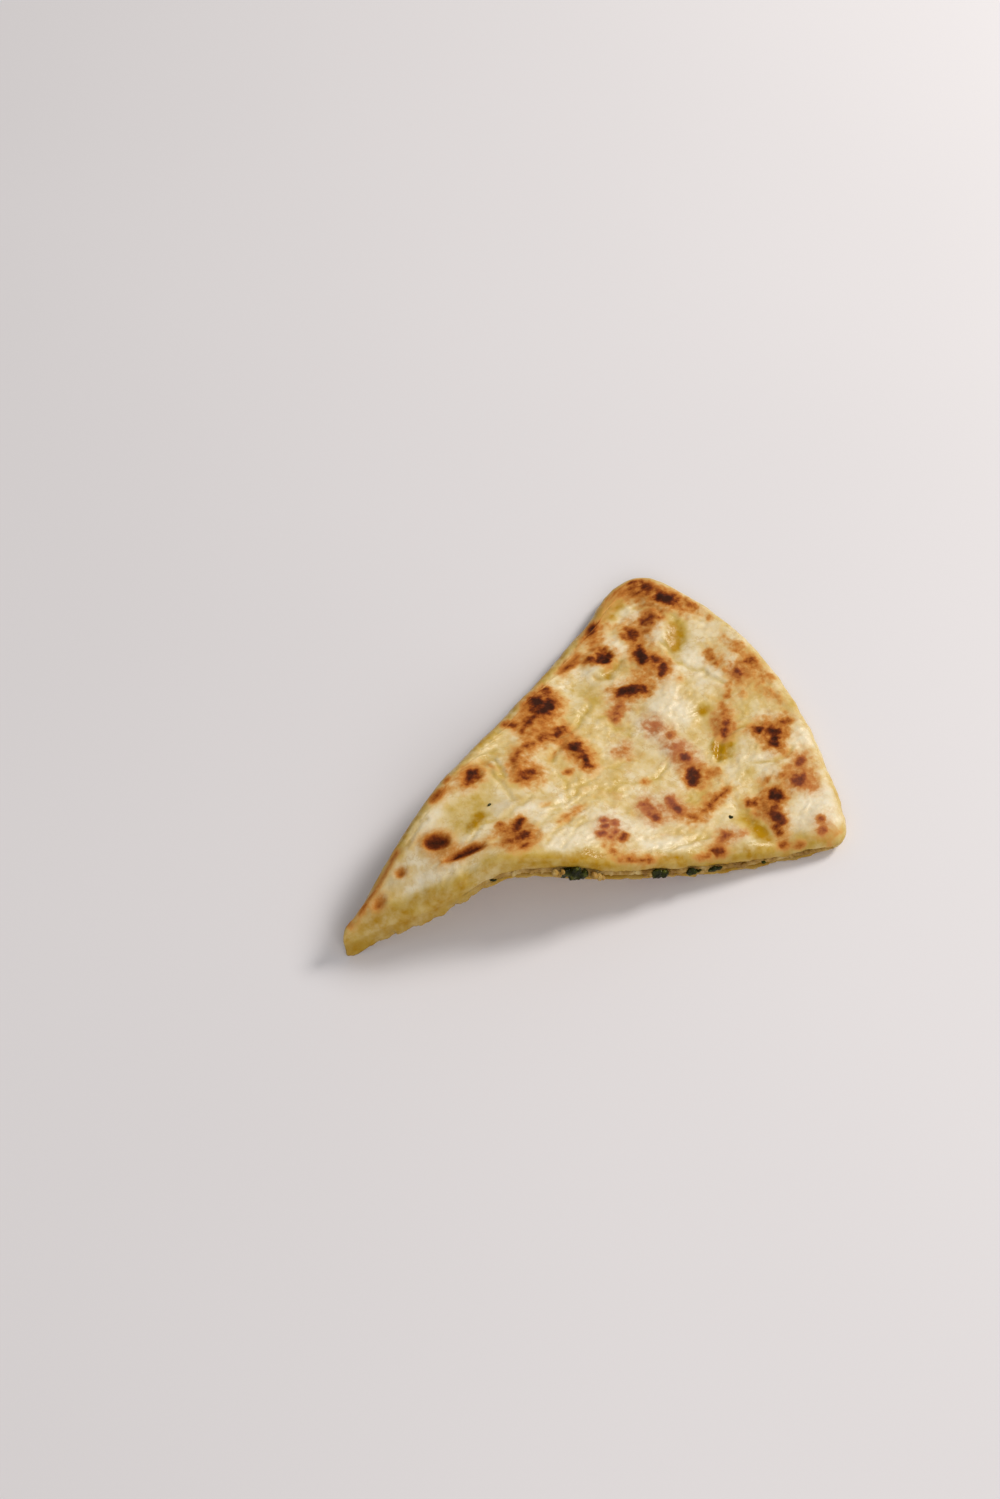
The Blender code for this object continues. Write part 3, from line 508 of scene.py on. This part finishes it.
faces = list(top_faces)
rings = [list(outline)]
start = count
for line in range(1, len(CUT_SECTION)):
    rings.append(list(range(start, start + len(outline))))
    start += len(outline)
for upper, lower in zip(rings, rings[1:]):
    for here in range(len(outline)):
        after = (here + 1) % len(outline)
        faces.append((upper[here], upper[after], lower[after], lower[here]))
under_index = np.zeros(count, dtype=int)
under_index[outline] = rings[-1]
under_index[inner] = np.arange(start, start + len(inner))
faces += [tuple(int(under_index[corner]) for corner in face[::-1]) for face in top_faces]
dough = mesh_object("dough_envelope", points, faces)

# Scorch marks under the slice are spread at random, as the pan leaves them, with the same columns as MARKS.
UNDER_MARK_COUNT = 120
UNDER_RANGES = ((6, 150), (-58, 58), (2, 9), (2, 5), (0, 180), (0.35, 1.0))
UNDER_ROSY = (0.0, 0.0, 0.6)
draw = np.random.default_rng(5)
under_marks = [
    [draw.uniform(low, high) for low, high in UNDER_RANGES] + [draw.choice(UNDER_ROSY)]
    for number in range(UNDER_MARK_COUNT)
]
# At the front the marks run down the cut as they are seen; at the back cut and the rim they fade downwards.
front_side = (plan_across < -AT_CUT) & (below > 0) & (below < 1)
run_x, run_y = seen_place(flat_x, side_y, height)
run_scorch, run_rosy = scorching(run_x, run_y, MARKS, 7)
fading = np.clip(1.0 - below / 0.45, 0.0, 1.0)
scorch_all = scorch * np.where(below > 0, fading, 1.0)
scorch_all = np.where(front_side, run_scorch * np.clip(1.15 - below, 0, 1), scorch_all)
rosy_all = np.where(front_side, run_rosy, rosy)
under_scorch, under_rosy = scorching(flat_x, flat_y, under_marks, 17)
scorch_all = np.where(below >= 1, under_scorch, scorch_all)
rosy_all = np.where(below >= 1, under_rosy, rosy_all)
paint(dough, "scorch", scorch_all)
paint(dough, "rosy", rosy_all)

# Butter gathers along the cuts, at the tip and in the dips and creases, where its olive-yellow is partly
# painted shade; the mounds stay pale, partly as painted sheen.
from_front = flat_x * math.sin(HALF_ANGLE) + flat_y * math.cos(HALF_ANGLE)
from_back = flat_x * math.sin(HALF_ANGLE) - flat_y * math.cos(HALF_ANGLE)
near_cut = np.minimum(from_front, from_back) + 1.2 * lumps(seen_x, seen_y, 6.0, 13, 2)
near_tip = flat_x + 2.0 * lumps(seen_x, seen_y, 5.0, 14, 2)
butter = spread(seen_x, seen_y, BUTTER_AND_SHADE, 11)
butter = np.maximum(butter, 0.8 * (1.0 - smoothstep(1.5, 6.0, near_cut)))
butter = np.maximum(butter, 0.75 * (1.0 - smoothstep(6.0, 17.0, near_tip)))
dip = relief(flat_x, flat_y)
# In the dips the olive-yellow is partly butter and partly painted shade.
butter = np.maximum(butter, 0.5 * smoothstep(0.35, 1.2, -dip))
wander = crease_wander(seen_x, seen_y)
# Along the creases it is partly butter and partly painted shade.
for crease in CREASES:
    away = from_line(seen_x + wander, seen_y + wander, crease[2:]) / (1.2 * crease[0])
    butter = np.maximum(butter, 1.9 * crease[1] * np.exp(-away * away))
cut_side = (np.abs(plan_across) > AT_CUT) & (flat_x < OPEN_TO)
side_butter = np.where(cut_side, 0.74 + 0.25 * lumps(flat_x, height, 5.0, 16, 2), 0.3 + 0.4 * butter)
side_butter = butter + (side_butter - butter) * smoothstep(0.0, 0.3, below)
butter = np.where(below >= 1, 0.3 + 0.3 * lumps(flat_x, flat_y, 12.0, 15, 2), side_butter)
# The mounds and raised puffs are paler: partly the dough's own colour, partly painted sheen.
pale = spread(seen_x, seen_y, MOUNDS, 12)
pale = np.maximum(pale, 0.8 * smoothstep(0.3, 1.1, dip)) * (below < 0.2)
paint(dough, "butter", np.clip(butter, 0, 1))
paint(dough, "pale", np.clip(pale, 0, 1))
# The groove and the lower part of the cuts are brown: partly moist dough, partly painted shade.
opening = np.concatenate([np.zeros(count)] + [openness] * (len(CUT_SECTION) - 1) + [np.zeros(len(inner))])
in_groove = opening * ((below > 0.5) & (below < 0.8) & ~under)
in_groove = in_groove * (0.4 + 0.6 * smoothstep(SMEAR_FULL, SMEAR_END, flat_x))
# Lower on the cut sides the brown is partly painted shade, darker towards the bottom.
low_side = opening * cut_side * smoothstep(0.2, 0.75, below) * (below < 1)
low_side = low_side * (0.5 + 0.5 * lumps(flat_x, 2.0 * height, 1.5, 18, 2))
paint(dough, "inside", np.maximum(in_groove, 0.8 * low_side))


def shade(red, green, blue):
    """A colour as the eye names it, from 0 to 255, in the light values that the shader works with."""
    parts = np.array((red, green, blue)) / 255
    light = np.where(parts <= 0.04045, parts / 12.92, ((parts + 0.055) / 1.055) ** 2.4)
    return tuple(light.tolist()) + (1.0,)


def add_node(tree, kind, **settings):
    made = tree.nodes.new(kind)
    for name, value in settings.items():
        if hasattr(made, name):
            setattr(made, name, value)
        else:
            made.inputs[name.replace("_", " ")].default_value = value
    return made


def attribute(tree, name):
    return add_node(tree, "ShaderNodeAttribute", attribute_name=name).outputs["Fac"]


def feed(tree, socket, value):
    """Sets a socket to a plain value, or links it to another node's output."""
    if isinstance(value, (int, float, tuple)):
        socket.default_value = value
    else:
        tree.links.new(value, socket)


def sum_of(tree, operation, *values):
    made = add_node(tree, "ShaderNodeMath", operation=operation)
    made.use_clamp = operation == "MULTIPLY"
    for socket, value in zip(made.inputs, values):
        feed(tree, socket, value)
    return made.outputs[0]


def blend(tree, share, first, second):
    made = add_node(tree, "ShaderNodeMix", data_type="RGBA")
    for number, value in ((0, share), (6, first), (7, second)):
        feed(tree, made.inputs[number], value)
    return made.outputs[2]


def ramp(tree, share, *stops):
    made = add_node(tree, "ShaderNodeValToRGB")
    band = made.color_ramp
    while len(band.elements) < len(stops):
        band.elements.new(0.5)
    for element, (place, colour) in zip(band.elements, stops):
        element.position = place
        element.color = colour
    tree.links.new(share, made.inputs[0])
    return made.outputs[0]


def rise(tree, value, low, high, most):
    """Rises softly from 0 to most while the value goes from low to high."""
    made = add_node(tree, "ShaderNodeMapRange", interpolation_type="SMOOTHSTEP")
    tree.links.new(value, made.inputs["Value"])
    made.inputs["From Min"].default_value = low
    made.inputs["From Max"].default_value = high
    made.inputs["To Max"].default_value = most
    return made.outputs[0]


def grain(tree, scale, detail=3.0):
    """Random mottling that stays with the piece; scale is lumps in a metre."""
    place = add_node(tree, "ShaderNodeTexCoord")
    made = add_node(tree, "ShaderNodeTexNoise", Scale=scale, Detail=detail, Roughness=0.55)
    tree.links.new(place.outputs["Object"], made.inputs["Vector"])
    return made.outputs["Fac"]


def new_material(name):
    material = bpy.data.materials.new(name)
    material.use_nodes = True
    tree = material.node_tree
    return material, tree, tree.nodes["Principled BSDF"]


def roughen(tree, shader, height, distance, strength):
    bump = add_node(tree, "ShaderNodeBump", Distance=distance, Strength=strength)
    tree.links.new(height, bump.inputs["Height"])
    tree.links.new(bump.outputs[0], shader.inputs["Normal"])


crust, tree, shader = new_material("buttered_scorched_dough")
broad, middling, fine = grain(tree, 110, 3.0), grain(tree, 380, 3.0), grain(tree, 1700, 3.0)
plain = ((0.32, shade(200, 166, 92)), (0.48, shade(222, 197, 144)), (0.66, shade(234, 217, 182)))
colour = ramp(tree, broad, *plain)
colour = blend(tree, rise(tree, middling, 0.42, 0.68, 0.55), colour, shade(206, 168, 86))
# Thin random lines tinted darker ochre: painted shade as in fine folds of the skin.
folds = sum_of(tree, "ABSOLUTE", sum_of(tree, "SUBTRACT", grain(tree, 150, 4.0), 0.5))
colour = blend(tree, rise(tree, folds, 0.022, 0.0, 0.35), colour, shade(190, 146, 70))
# Pale on the mounds and puffs, partly painted sheen.
pale_and_sheen_share = sum_of(tree, "MULTIPLY", attribute(tree, "pale"), sum_of(tree, "SUBTRACT", 1.35, middling))
colour = blend(tree, pale_and_sheen_share, colour, shade(236, 223, 196))
# The butter's olive-yellow, which in the dips and creases is partly painted shade.
butter_and_shade_share = sum_of(tree, "MULTIPLY", attribute(tree, "butter"), sum_of(tree, "ADD", middling, 0.5))
oily = ((0.2, shade(204, 172, 76)), (0.6, shade(184, 148, 24)), (0.95, shade(174, 126, 0)))
colour = blend(tree, butter_and_shade_share, colour, ramp(tree, butter_and_shade_share, *oily))
# Brown in the groove and low on the cuts: partly moist dough, partly painted shade.
moist_and_shade_share = sum_of(tree, "MULTIPLY", attribute(tree, "inside"), 0.75)
colour = blend(tree, moist_and_shade_share, colour, shade(150, 110, 30))
mottle = sum_of(tree, "ADD", middling, sum_of(tree, "MULTIPLY_ADD", fine, 1.2, -0.1))
mottled = sum_of(tree, "MULTIPLY_ADD", mottle, 0.5, 0.49)
darkness = sum_of(tree, "MULTIPLY", attribute(tree, "scorch"), mottled)
seared = (
    (0.05, shade(220, 184, 116)), (0.19, shade(208, 152, 80)), (0.34, shade(184, 112, 42)),
    (0.5, shade(134, 62, 8)), (0.66, shade(92, 34, 4)), (0.86, shade(54, 18, 2)),
)
rosy_share = sum_of(tree, "MULTIPLY", attribute(tree, "rosy"), 0.52)
burnt = blend(tree, rosy_share, ramp(tree, darkness, *seared), shade(170, 98, 76))
covered = rise(tree, darkness, 0.03, 0.28, 1.0)
tree.links.new(blend(tree, covered, colour, burnt), shader.inputs["Base Color"])
greasy = sum_of(tree, "ADD", butter_and_shade_share, sum_of(tree, "MULTIPLY", fine, 0.4))
dullness = add_node(tree, "ShaderNodeMapRange")
dullness.inputs["To Min"].default_value = 0.32
dullness.inputs["To Max"].default_value = 0.17
tree.links.new(sum_of(tree, "SUBTRACT", greasy, covered), dullness.inputs["Value"])
scorched_dullness = sum_of(tree, "MULTIPLY_ADD", covered, 0.5, dullness.outputs[0])
tree.links.new(scorched_dullness, shader.inputs["Roughness"])
shader.inputs["Specular IOR Level"].default_value = 0.16
shader.inputs["Specular Tint"].default_value = (1.0, 0.93, 0.82, 1.0)
shader.inputs["Subsurface Weight"].default_value = 0.05
shader.inputs["Subsurface Radius"].default_value = (1.0, 0.6, 0.3)
shader.inputs["Subsurface Scale"].default_value = 0.0015
roughen(tree, shader, mottle, 0.00014, 0.5)

dough.data.materials.append(crust)
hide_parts("dough")
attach(dough, "root")

# The filling at the two cuts
# Cottage cheese mashed with egg, salt and chopped herbs, spread on the dough before it was folded. It fills
# the groove between the two layers, and its moist curds bulge from the cut.
FILLING_TO = 137.0
FILLING_STEP = 0.42
FILLING_DEPTH = 4.6
FILLING_LEVELS = np.linspace(0.26, 0.475, 9)


def cut_place(distance, side, inset, level):
    """A point on a cut: distance from the tip, side (-1 front, 1 back), inset, and share of the way up."""
    fade = smoothstep(0.0, TIP_FADE, distance)
    angle = side * (HALF_ANGLE - inset * fade / np.maximum(distance, TIP_FADE / 4))
    x, y = distance * np.cos(angle), distance * np.sin(angle)
    low = arch(x, y)
    z = low + level * thickness(x)
    return x, bent(x, y, z), z


def curds(u, v, size, seed):
    """Rounded lumps packed side by side: 1 at a lump's middle, 0 in the cracks between them."""
    i, j = np.floor(u / size).astype(int), np.floor(v / size).astype(int)
    draw = np.random.default_rng(seed)
    jitter = draw.uniform(0.1, 0.9, (LATTICE, LATTICE, 2))
    swell = draw.uniform(0.75, 1.1, (LATTICE, LATTICE))
    best = np.zeros(np.shape(u))
    for di in (-1, 0, 1):
        for dj in (-1, 0, 1):
            a, b = i + di, j + dj
            cell, reach = jitter[a % LATTICE, b % LATTICE], swell[a % LATTICE, b % LATTICE]
            du, dv = u / size - a - cell[..., 0], v / size - b - cell[..., 1]
            best = np.maximum(best, np.sqrt(np.clip(1.0 - (du * du + dv * dv) / (0.55 * reach), 0.0, 1.0)))
    return best


stations = np.arange(-FILLING_TO, FILLING_TO + FILLING_STEP, FILLING_STEP)
smeared = 1.0 - smoothstep(SMEAR_FULL, SMEAR_END, np.abs(stations))
sections = []
for number, level in enumerate(FILLING_LEVELS):
    bulge = math.sin(math.pi * number / (len(FILLING_LEVELS) - 1))
    tall = 0 * stations + THICK_BODY * level
    lump = 0.75 * curds(stations, tall, 1.9, 41) + 0.25 * curds(stations, tall, 0.9, 42)
    open_inset = 1.15 - 0.45 * bulge - 0.85 * lump * (0.35 + 0.65 * bulge)
    smeared_inset = 0.95 - 0.3 * lump * bulge
    sections.append((level, open_inset + (smeared_inset - open_inset) * smeared))
sections.append((FILLING_LEVELS[-1], 0 * stations + FILLING_DEPTH))
sections.append((FILLING_LEVELS[0], 0 * stations + FILLING_DEPTH))
filling_points = []
side = np.sign(stations + 1e-9)
distance = np.maximum(np.abs(stations), 0.9)
for level, inset in sections:
    tip_inset = np.where(np.abs(stations) < 6.0, np.minimum(inset, 1.0), inset)
    filling_points.append(np.column_stack(cut_place(distance, side, tip_inset, level)))
around, long = len(sections), len(stations)
filling_faces = []
for row in range(around):
    first, second = row * long, (row + 1) % around * long
    for here in range(long - 1):
        filling_faces.append((first + here, first + here + 1, second + here + 1, second + here))
filling_faces.append(tuple(row * long for row in range(around)))
filling_faces.append(tuple(row * long + long - 1 for row in reversed(range(around))))
filling = mesh_object("curd_filling_band", np.concatenate(filling_points), filling_faces)
paint(filling, "smear", np.tile(smeared, around))

curd_look, tree, shader = new_material("curd_and_egg")
broad, middling, fine = grain(tree, 260, 2.0), grain(tree, 900, 3.0), grain(tree, 2600, 2.0)
# The curd's tones reach down to brown: egg-yellow curd, partly painted shade of the narrow cut.
curd_and_shade_tones = ((0.35, shade(130, 88, 26)), (0.52, shade(178, 138, 62)), (0.68, shade(218, 193, 130)))
colour = ramp(tree, broad, *curd_and_shade_tones)
colour = blend(tree, sum_of(tree, "MULTIPLY", middling, 0.6), colour, shade(170, 128, 56))
colour = blend(tree, sum_of(tree, "MULTIPLY", attribute(tree, "smear"), 0.8), colour, shade(188, 150, 66))
tree.links.new(colour, shader.inputs["Base Color"])
shader.inputs["Roughness"].default_value = 0.34
shader.inputs["Specular IOR Level"].default_value = 0.3
roughen(tree, shader, sum_of(tree, "ADD", middling, fine), 0.0005, 0.6)
filling.data.materials.append(curd_look)
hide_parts("curd_filling")
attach(filling, "root")

# Loose curds along the cuts
# Single grains of cottage cheese that the knife dragged out of the filling. They stick to it, half sunk in.
CURD_COUNT = 120
CURD_SIZE = (0.45, 1.15)
CURD_REACH = (43, 134)
CURD_LEVEL = (0.27, 0.46)
# Larger curds hang out of the front cut beside the first clump of herb: distance from the tip, level, size.
HANGING_CURDS = (
    (58.9, 0.5, 1.2), (60, 0.42, 1), (60.8, 0.54, 0.8), (68.6, 0.46, 1.2), (69.8, 0.4, 1.3),
    (70.9, 0.36, 0.9),
)


def point_cloud(name, places, sizes, turns):
    """Points in millimetres from the tip that carry a size and a turn for what is set on them."""
    mesh = bpy.data.meshes.new(name)
    placed = (np.array(places) + (TIP[0], TIP[1], 0.0)) * MM
    mesh.from_pydata(placed.tolist(), [], [])
    for label, values in (("size", np.array(sizes) * MM), ("turn", np.array(turns))):
        layer = mesh.attributes.new(label, "FLOAT_VECTOR", "POINT")
        layer.data.foreach_set("vector", np.ascontiguousarray(values, dtype=np.float32).ravel())
    return in_scene(name, mesh)


def start_tree(name, *numbers):
    """A geometry node tree that takes the points and the named numbers."""
    tree = bpy.data.node_groups.new(name, "GeometryNodeTree")
    tree.interface.new_socket("Points", in_out="INPUT", socket_type="NodeSocketGeometry")
    tree.interface.new_socket("Pieces", in_out="OUTPUT", socket_type="NodeSocketGeometry")
    for label, value in numbers:
        tree.interface.new_socket(label, in_out="INPUT", socket_type="NodeSocketFloat").default_value = value
    return tree, tree.nodes.new("NodeGroupInput"), tree.nodes.new("NodeGroupOutput")


def set_on_points(tree, source, result, shape, material):
    """Sets the shape on every point, makes each one uneven, and ends with real mesh and its material."""
    link = tree.links.new
    size = add_node(tree, "GeometryNodeInputNamedAttribute", data_type="FLOAT_VECTOR", Name="size")
    turn = add_node(tree, "GeometryNodeInputNamedAttribute", data_type="FLOAT_VECTOR", Name="turn")
    place = add_node(tree, "GeometryNodeInstanceOnPoints")
    link(source.outputs["Points"], place.inputs["Points"])
    link(shape, place.inputs["Instance"])
    link(turn.outputs["Attribute"], place.inputs["Rotation"])
    link(size.outputs["Attribute"], place.inputs["Scale"])
    real = add_node(tree, "GeometryNodeRealizeInstances")
    link(place.outputs[0], real.inputs[0])
    noise = add_node(tree, "ShaderNodeTexNoise", Detail=2.0)
    link(source.outputs["Lumps in a metre"], noise.inputs["Scale"])
    middle = add_node(tree, "ShaderNodeVectorMath", operation="SUBTRACT")
    middle.inputs[1].default_value = (0.5, 0.5, 0.5)
    link(noise.outputs["Color"], middle.inputs[0])
    scaled = add_node(tree, "ShaderNodeVectorMath", operation="SCALE")
    link(middle.outputs[0], scaled.inputs[0])
    link(source.outputs["Unevenness"], scaled.inputs["Scale"])
    moved = add_node(tree, "GeometryNodeSetPosition")
    link(real.outputs[0], moved.inputs["Geometry"])
    link(scaled.outputs[0], moved.inputs["Offset"])
    smooth = add_node(tree, "GeometryNodeSetShadeSmooth")
    link(moved.outputs[0], smooth.inputs[0])
    finish = add_node(tree, "GeometryNodeSetMaterial")
    finish.inputs["Material"].default_value = material
    link(smooth.outputs[0], finish.inputs["Geometry"])
    link(finish.outputs[0], result.inputs[0])


def made_real(obj, tree):
    """The modifier's result as a plain mesh on the same object."""
    modifier = obj.modifiers.new("pieces", "NODES")
    modifier.node_group = tree
    graph = bpy.context.evaluated_depsgraph_get()
    graph.update()
    mesh = bpy.data.meshes.new_from_object(obj.evaluated_get(graph))
    mesh.name = obj.name
    obj.modifiers.clear()
    obj.data = mesh
    return obj


draw = np.random.default_rng(61)
places, sizes, turns = [], [], []
for number in range(CURD_COUNT):
    side = -1 if number % 2 else 1
    distance = draw.uniform(*CURD_REACH)
    size = draw.uniform(*CURD_SIZE)
    level = draw.uniform(*CURD_LEVEL)
    places.append([float(part) for part in cut_place(distance, side, draw.uniform(0.3, 0.9), level)])
    sizes.append((size, size * draw.uniform(0.7, 1.0), size * draw.uniform(0.6, 0.9)))
    turns.append(draw.uniform(-0.6, 0.6, 3))
for distance, level, size in HANGING_CURDS:
    places.append([float(part) for part in cut_place(distance, -1, -1.0, level)])
    sizes.append((size, 0.8 * size, 0.8 * size))
    turns.append((0.3 * size, 0.2, size))
curd_points = point_cloud("loose_curds", places, sizes, turns)
tree, source, result = start_tree("curd_grains", ("Unevenness", 0.0007), ("Lumps in a metre", 900.0))
ball = add_node(tree, "GeometryNodeMeshIcoSphere", Radius=1.0, Subdivisions=3)
set_on_points(tree, source, result, ball.outputs[0], curd_look)
loose_curds = made_real(curd_points, tree)
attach(loose_curds, "root")

# Chopped herbs
# Coriander leaves and green of spring onion, chopped and stirred into the curd. Heat has made them limp and
# nearly black-green. Each is a thin curled flake pressed into the filling, and two bits stick to the top.

# At the cuts: distance from the tip, length, height, how far it stands in from the cut.
FRONT_HERBS = (
    (42.5, 1.8, 0.9, 0.5), (45, 1.2, 0.7, 0.5), (61.6, 3.2, 3.2, -0.3), (63.8, 4.2, 4.4, -0.7),
    (66.2, 2.8, 2.8, -0.2), (68.6, 1.4, 1, 0.4), (86, 2.8, 3.2, -0.4), (88, 2.4, 2.6, -0.4),
    (95.8, 2.8, 2.6, -0.3), (97.8, 1.6, 1.6, 0.1), (102.2, 2.8, 2.2, -0.2), (104.2, 1.8, 1.8, 0),
    (117, 1.5, 0.9, 0.3),
)
BACK_HERBS = (
    (46, 1.4, 0.9, 0.3), (51, 2.8, 1.9, -0.2), (53.2, 2.2, 1.4, 0), (63, 1.3, 1, 0.3),
    (75, 2.4, 1.5, 0.1), (89, 2.8, 2, -0.2), (91.2, 2.6, 1.6, -0.1), (98, 1.6, 0.9, 0.3),
    (112, 2.6, 1.3, 0), (124, 1.4, 0.9, 0.3),
)
# On the top: x, y, length and width, with x and y read as the marks are.
TOP_HERBS = ((52.4, 6.3, 1.3, 0.6), (107.3, -31.0, 1.7, 0.8))
places, sizes, turns = [], [], []
draw = np.random.default_rng(71)
for side, herbs in ((-1, FRONT_HERBS), (1, BACK_HERBS)):
    for distance, length, tall, inset in herbs:
        places.append([float(part) for part in cut_place(distance, side, inset, 0.34 + 0.025 * tall)])
        sizes.append((length / 2, 0.45 + 0.13 * tall, tall / 2))
        roll, pitch, yaw = draw.uniform(-0.3, 0.3), draw.uniform(-0.25, 0.25), draw.uniform(-0.2, 0.2)
        turns.append((roll, pitch, side * HALF_ANGLE + yaw))
for top_x, top_y, length, width in TOP_HERBS:
    nearest = int(np.argmin(np.hypot(seen_x[:count] - top_x, seen_y[:count] - top_y)))
    places.append([float(part) for part in points[nearest]])
    sizes.append((length / 2, width / 2, 0.3))
    turns.append((0.0, 0.0, 0.2))
herb_points = point_cloud("chopped_herbs", places, sizes, turns)

herb_look, tree, shader = new_material("cooked_herb")
broad, fine = grain(tree, 700, 2.0), grain(tree, 2200, 2.0)
colour = ramp(tree, broad, (0.35, shade(22, 24, 5)), (0.55, shade(42, 46, 9)), (0.72, shade(84, 86, 20)))
tree.links.new(colour, shader.inputs["Base Color"])
shader.inputs["Roughness"].default_value = 0.16
shader.inputs["Specular IOR Level"].default_value = 0.14
shader.inputs["Specular Tint"].default_value = (1.0, 0.93, 0.78, 1.0)
roughen(tree, shader, fine, 0.0004, 0.6)
tree, source, result = start_tree("herb_flakes", ("Unevenness", 0.0019), ("Lumps in a metre", 480.0))
flake = add_node(tree, "GeometryNodeMeshIcoSphere", Radius=1.0, Subdivisions=4)
set_on_points(tree, source, result, flake.outputs[0], herb_look)
herbs = made_real(herb_points, tree)
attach(herbs, "root")

# Floor, light and camera
# A plain pale floor under soft studio light from a large lamp beyond the rim, with a weak one in front of the
# tip, and the camera at the photograph's viewing angle.
FLOOR_HALF = 4.0
floor_mesh = bpy.data.meshes.new("floor")
corners = [(FLOOR_HALF * x, FLOOR_HALF * y, 0) for x, y in ((-1, -1), (1, -1), (1, 1), (-1, 1))]
floor_mesh.from_pydata(corners, [], [(0, 1, 2, 3)])
floor = in_scene("floor", floor_mesh)
floor_look, tree, shader = new_material("pale_floor")
colour = ramp(tree, grain(tree, 3, 2.0), (0.3, shade(228, 223, 224)), (0.7, shade(232, 227, 228)))
tree.links.new(colour, shader.inputs["Base Color"])
shader.inputs["Roughness"].default_value = 0.85
shader.inputs["Specular IOR Level"].default_value = 0.15
floor.data.materials.append(floor_look)


def area_lamp(name, place, size, power, colour):
    lamp = bpy.data.lights.new(name, "AREA")
    lamp.shape = "RECTANGLE"
    lamp.size, lamp.size_y = size
    lamp.energy = power
    lamp.color = colour
    obj = in_scene(name, lamp)
    obj.location = place
    obj.rotation_euler = (-Vector(place)).to_track_quat("-Z", "Y").to_euler()


area_lamp("key_lamp", place=(1.05, -0.05, 0.77), size=(0.36, 0.36), power=11.8, colour=(1.0, 0.985, 0.95))
area_lamp("fill_lamp", place=(-0.45, -0.9, 0.8), size=(0.9, 0.9), power=5.5, colour=(1.0, 0.99, 0.98))
world = bpy.data.worlds.new("studio")
world.use_nodes = True
world.node_tree.nodes["Background"].inputs["Color"].default_value = (1.0, 1.0, 1.0, 1.0)
world.node_tree.nodes["Background"].inputs["Strength"].default_value = 0.34
bpy.context.scene.world = world
bpy.context.scene.view_settings.view_transform = "Standard"

CAMERA_PLACE = (-0.24907, -0.31428, 0.57587)
CAMERA_ELEVATION, CAMERA_AZIMUTH, CAMERA_ROLL = 53.72, -35.62, -1.36
camera_data = bpy.data.cameras.new("camera")
camera_data.sensor_width = 36.0
camera_data.lens = 60.03
camera_data.clip_start = 0.01
camera = in_scene("camera", camera_data)
camera.location = CAMERA_PLACE
turn = Euler((0, 0, math.radians(CAMERA_AZIMUTH))).to_matrix()
turn = turn @ Euler((math.radians(90 - CAMERA_ELEVATION), 0, 0)).to_matrix()
turn = turn @ Euler((0, 0, math.radians(CAMERA_ROLL))).to_matrix()
camera.rotation_euler = turn.to_euler()
bpy.context.scene.camera = camera

bpy.context.view_layer.update()
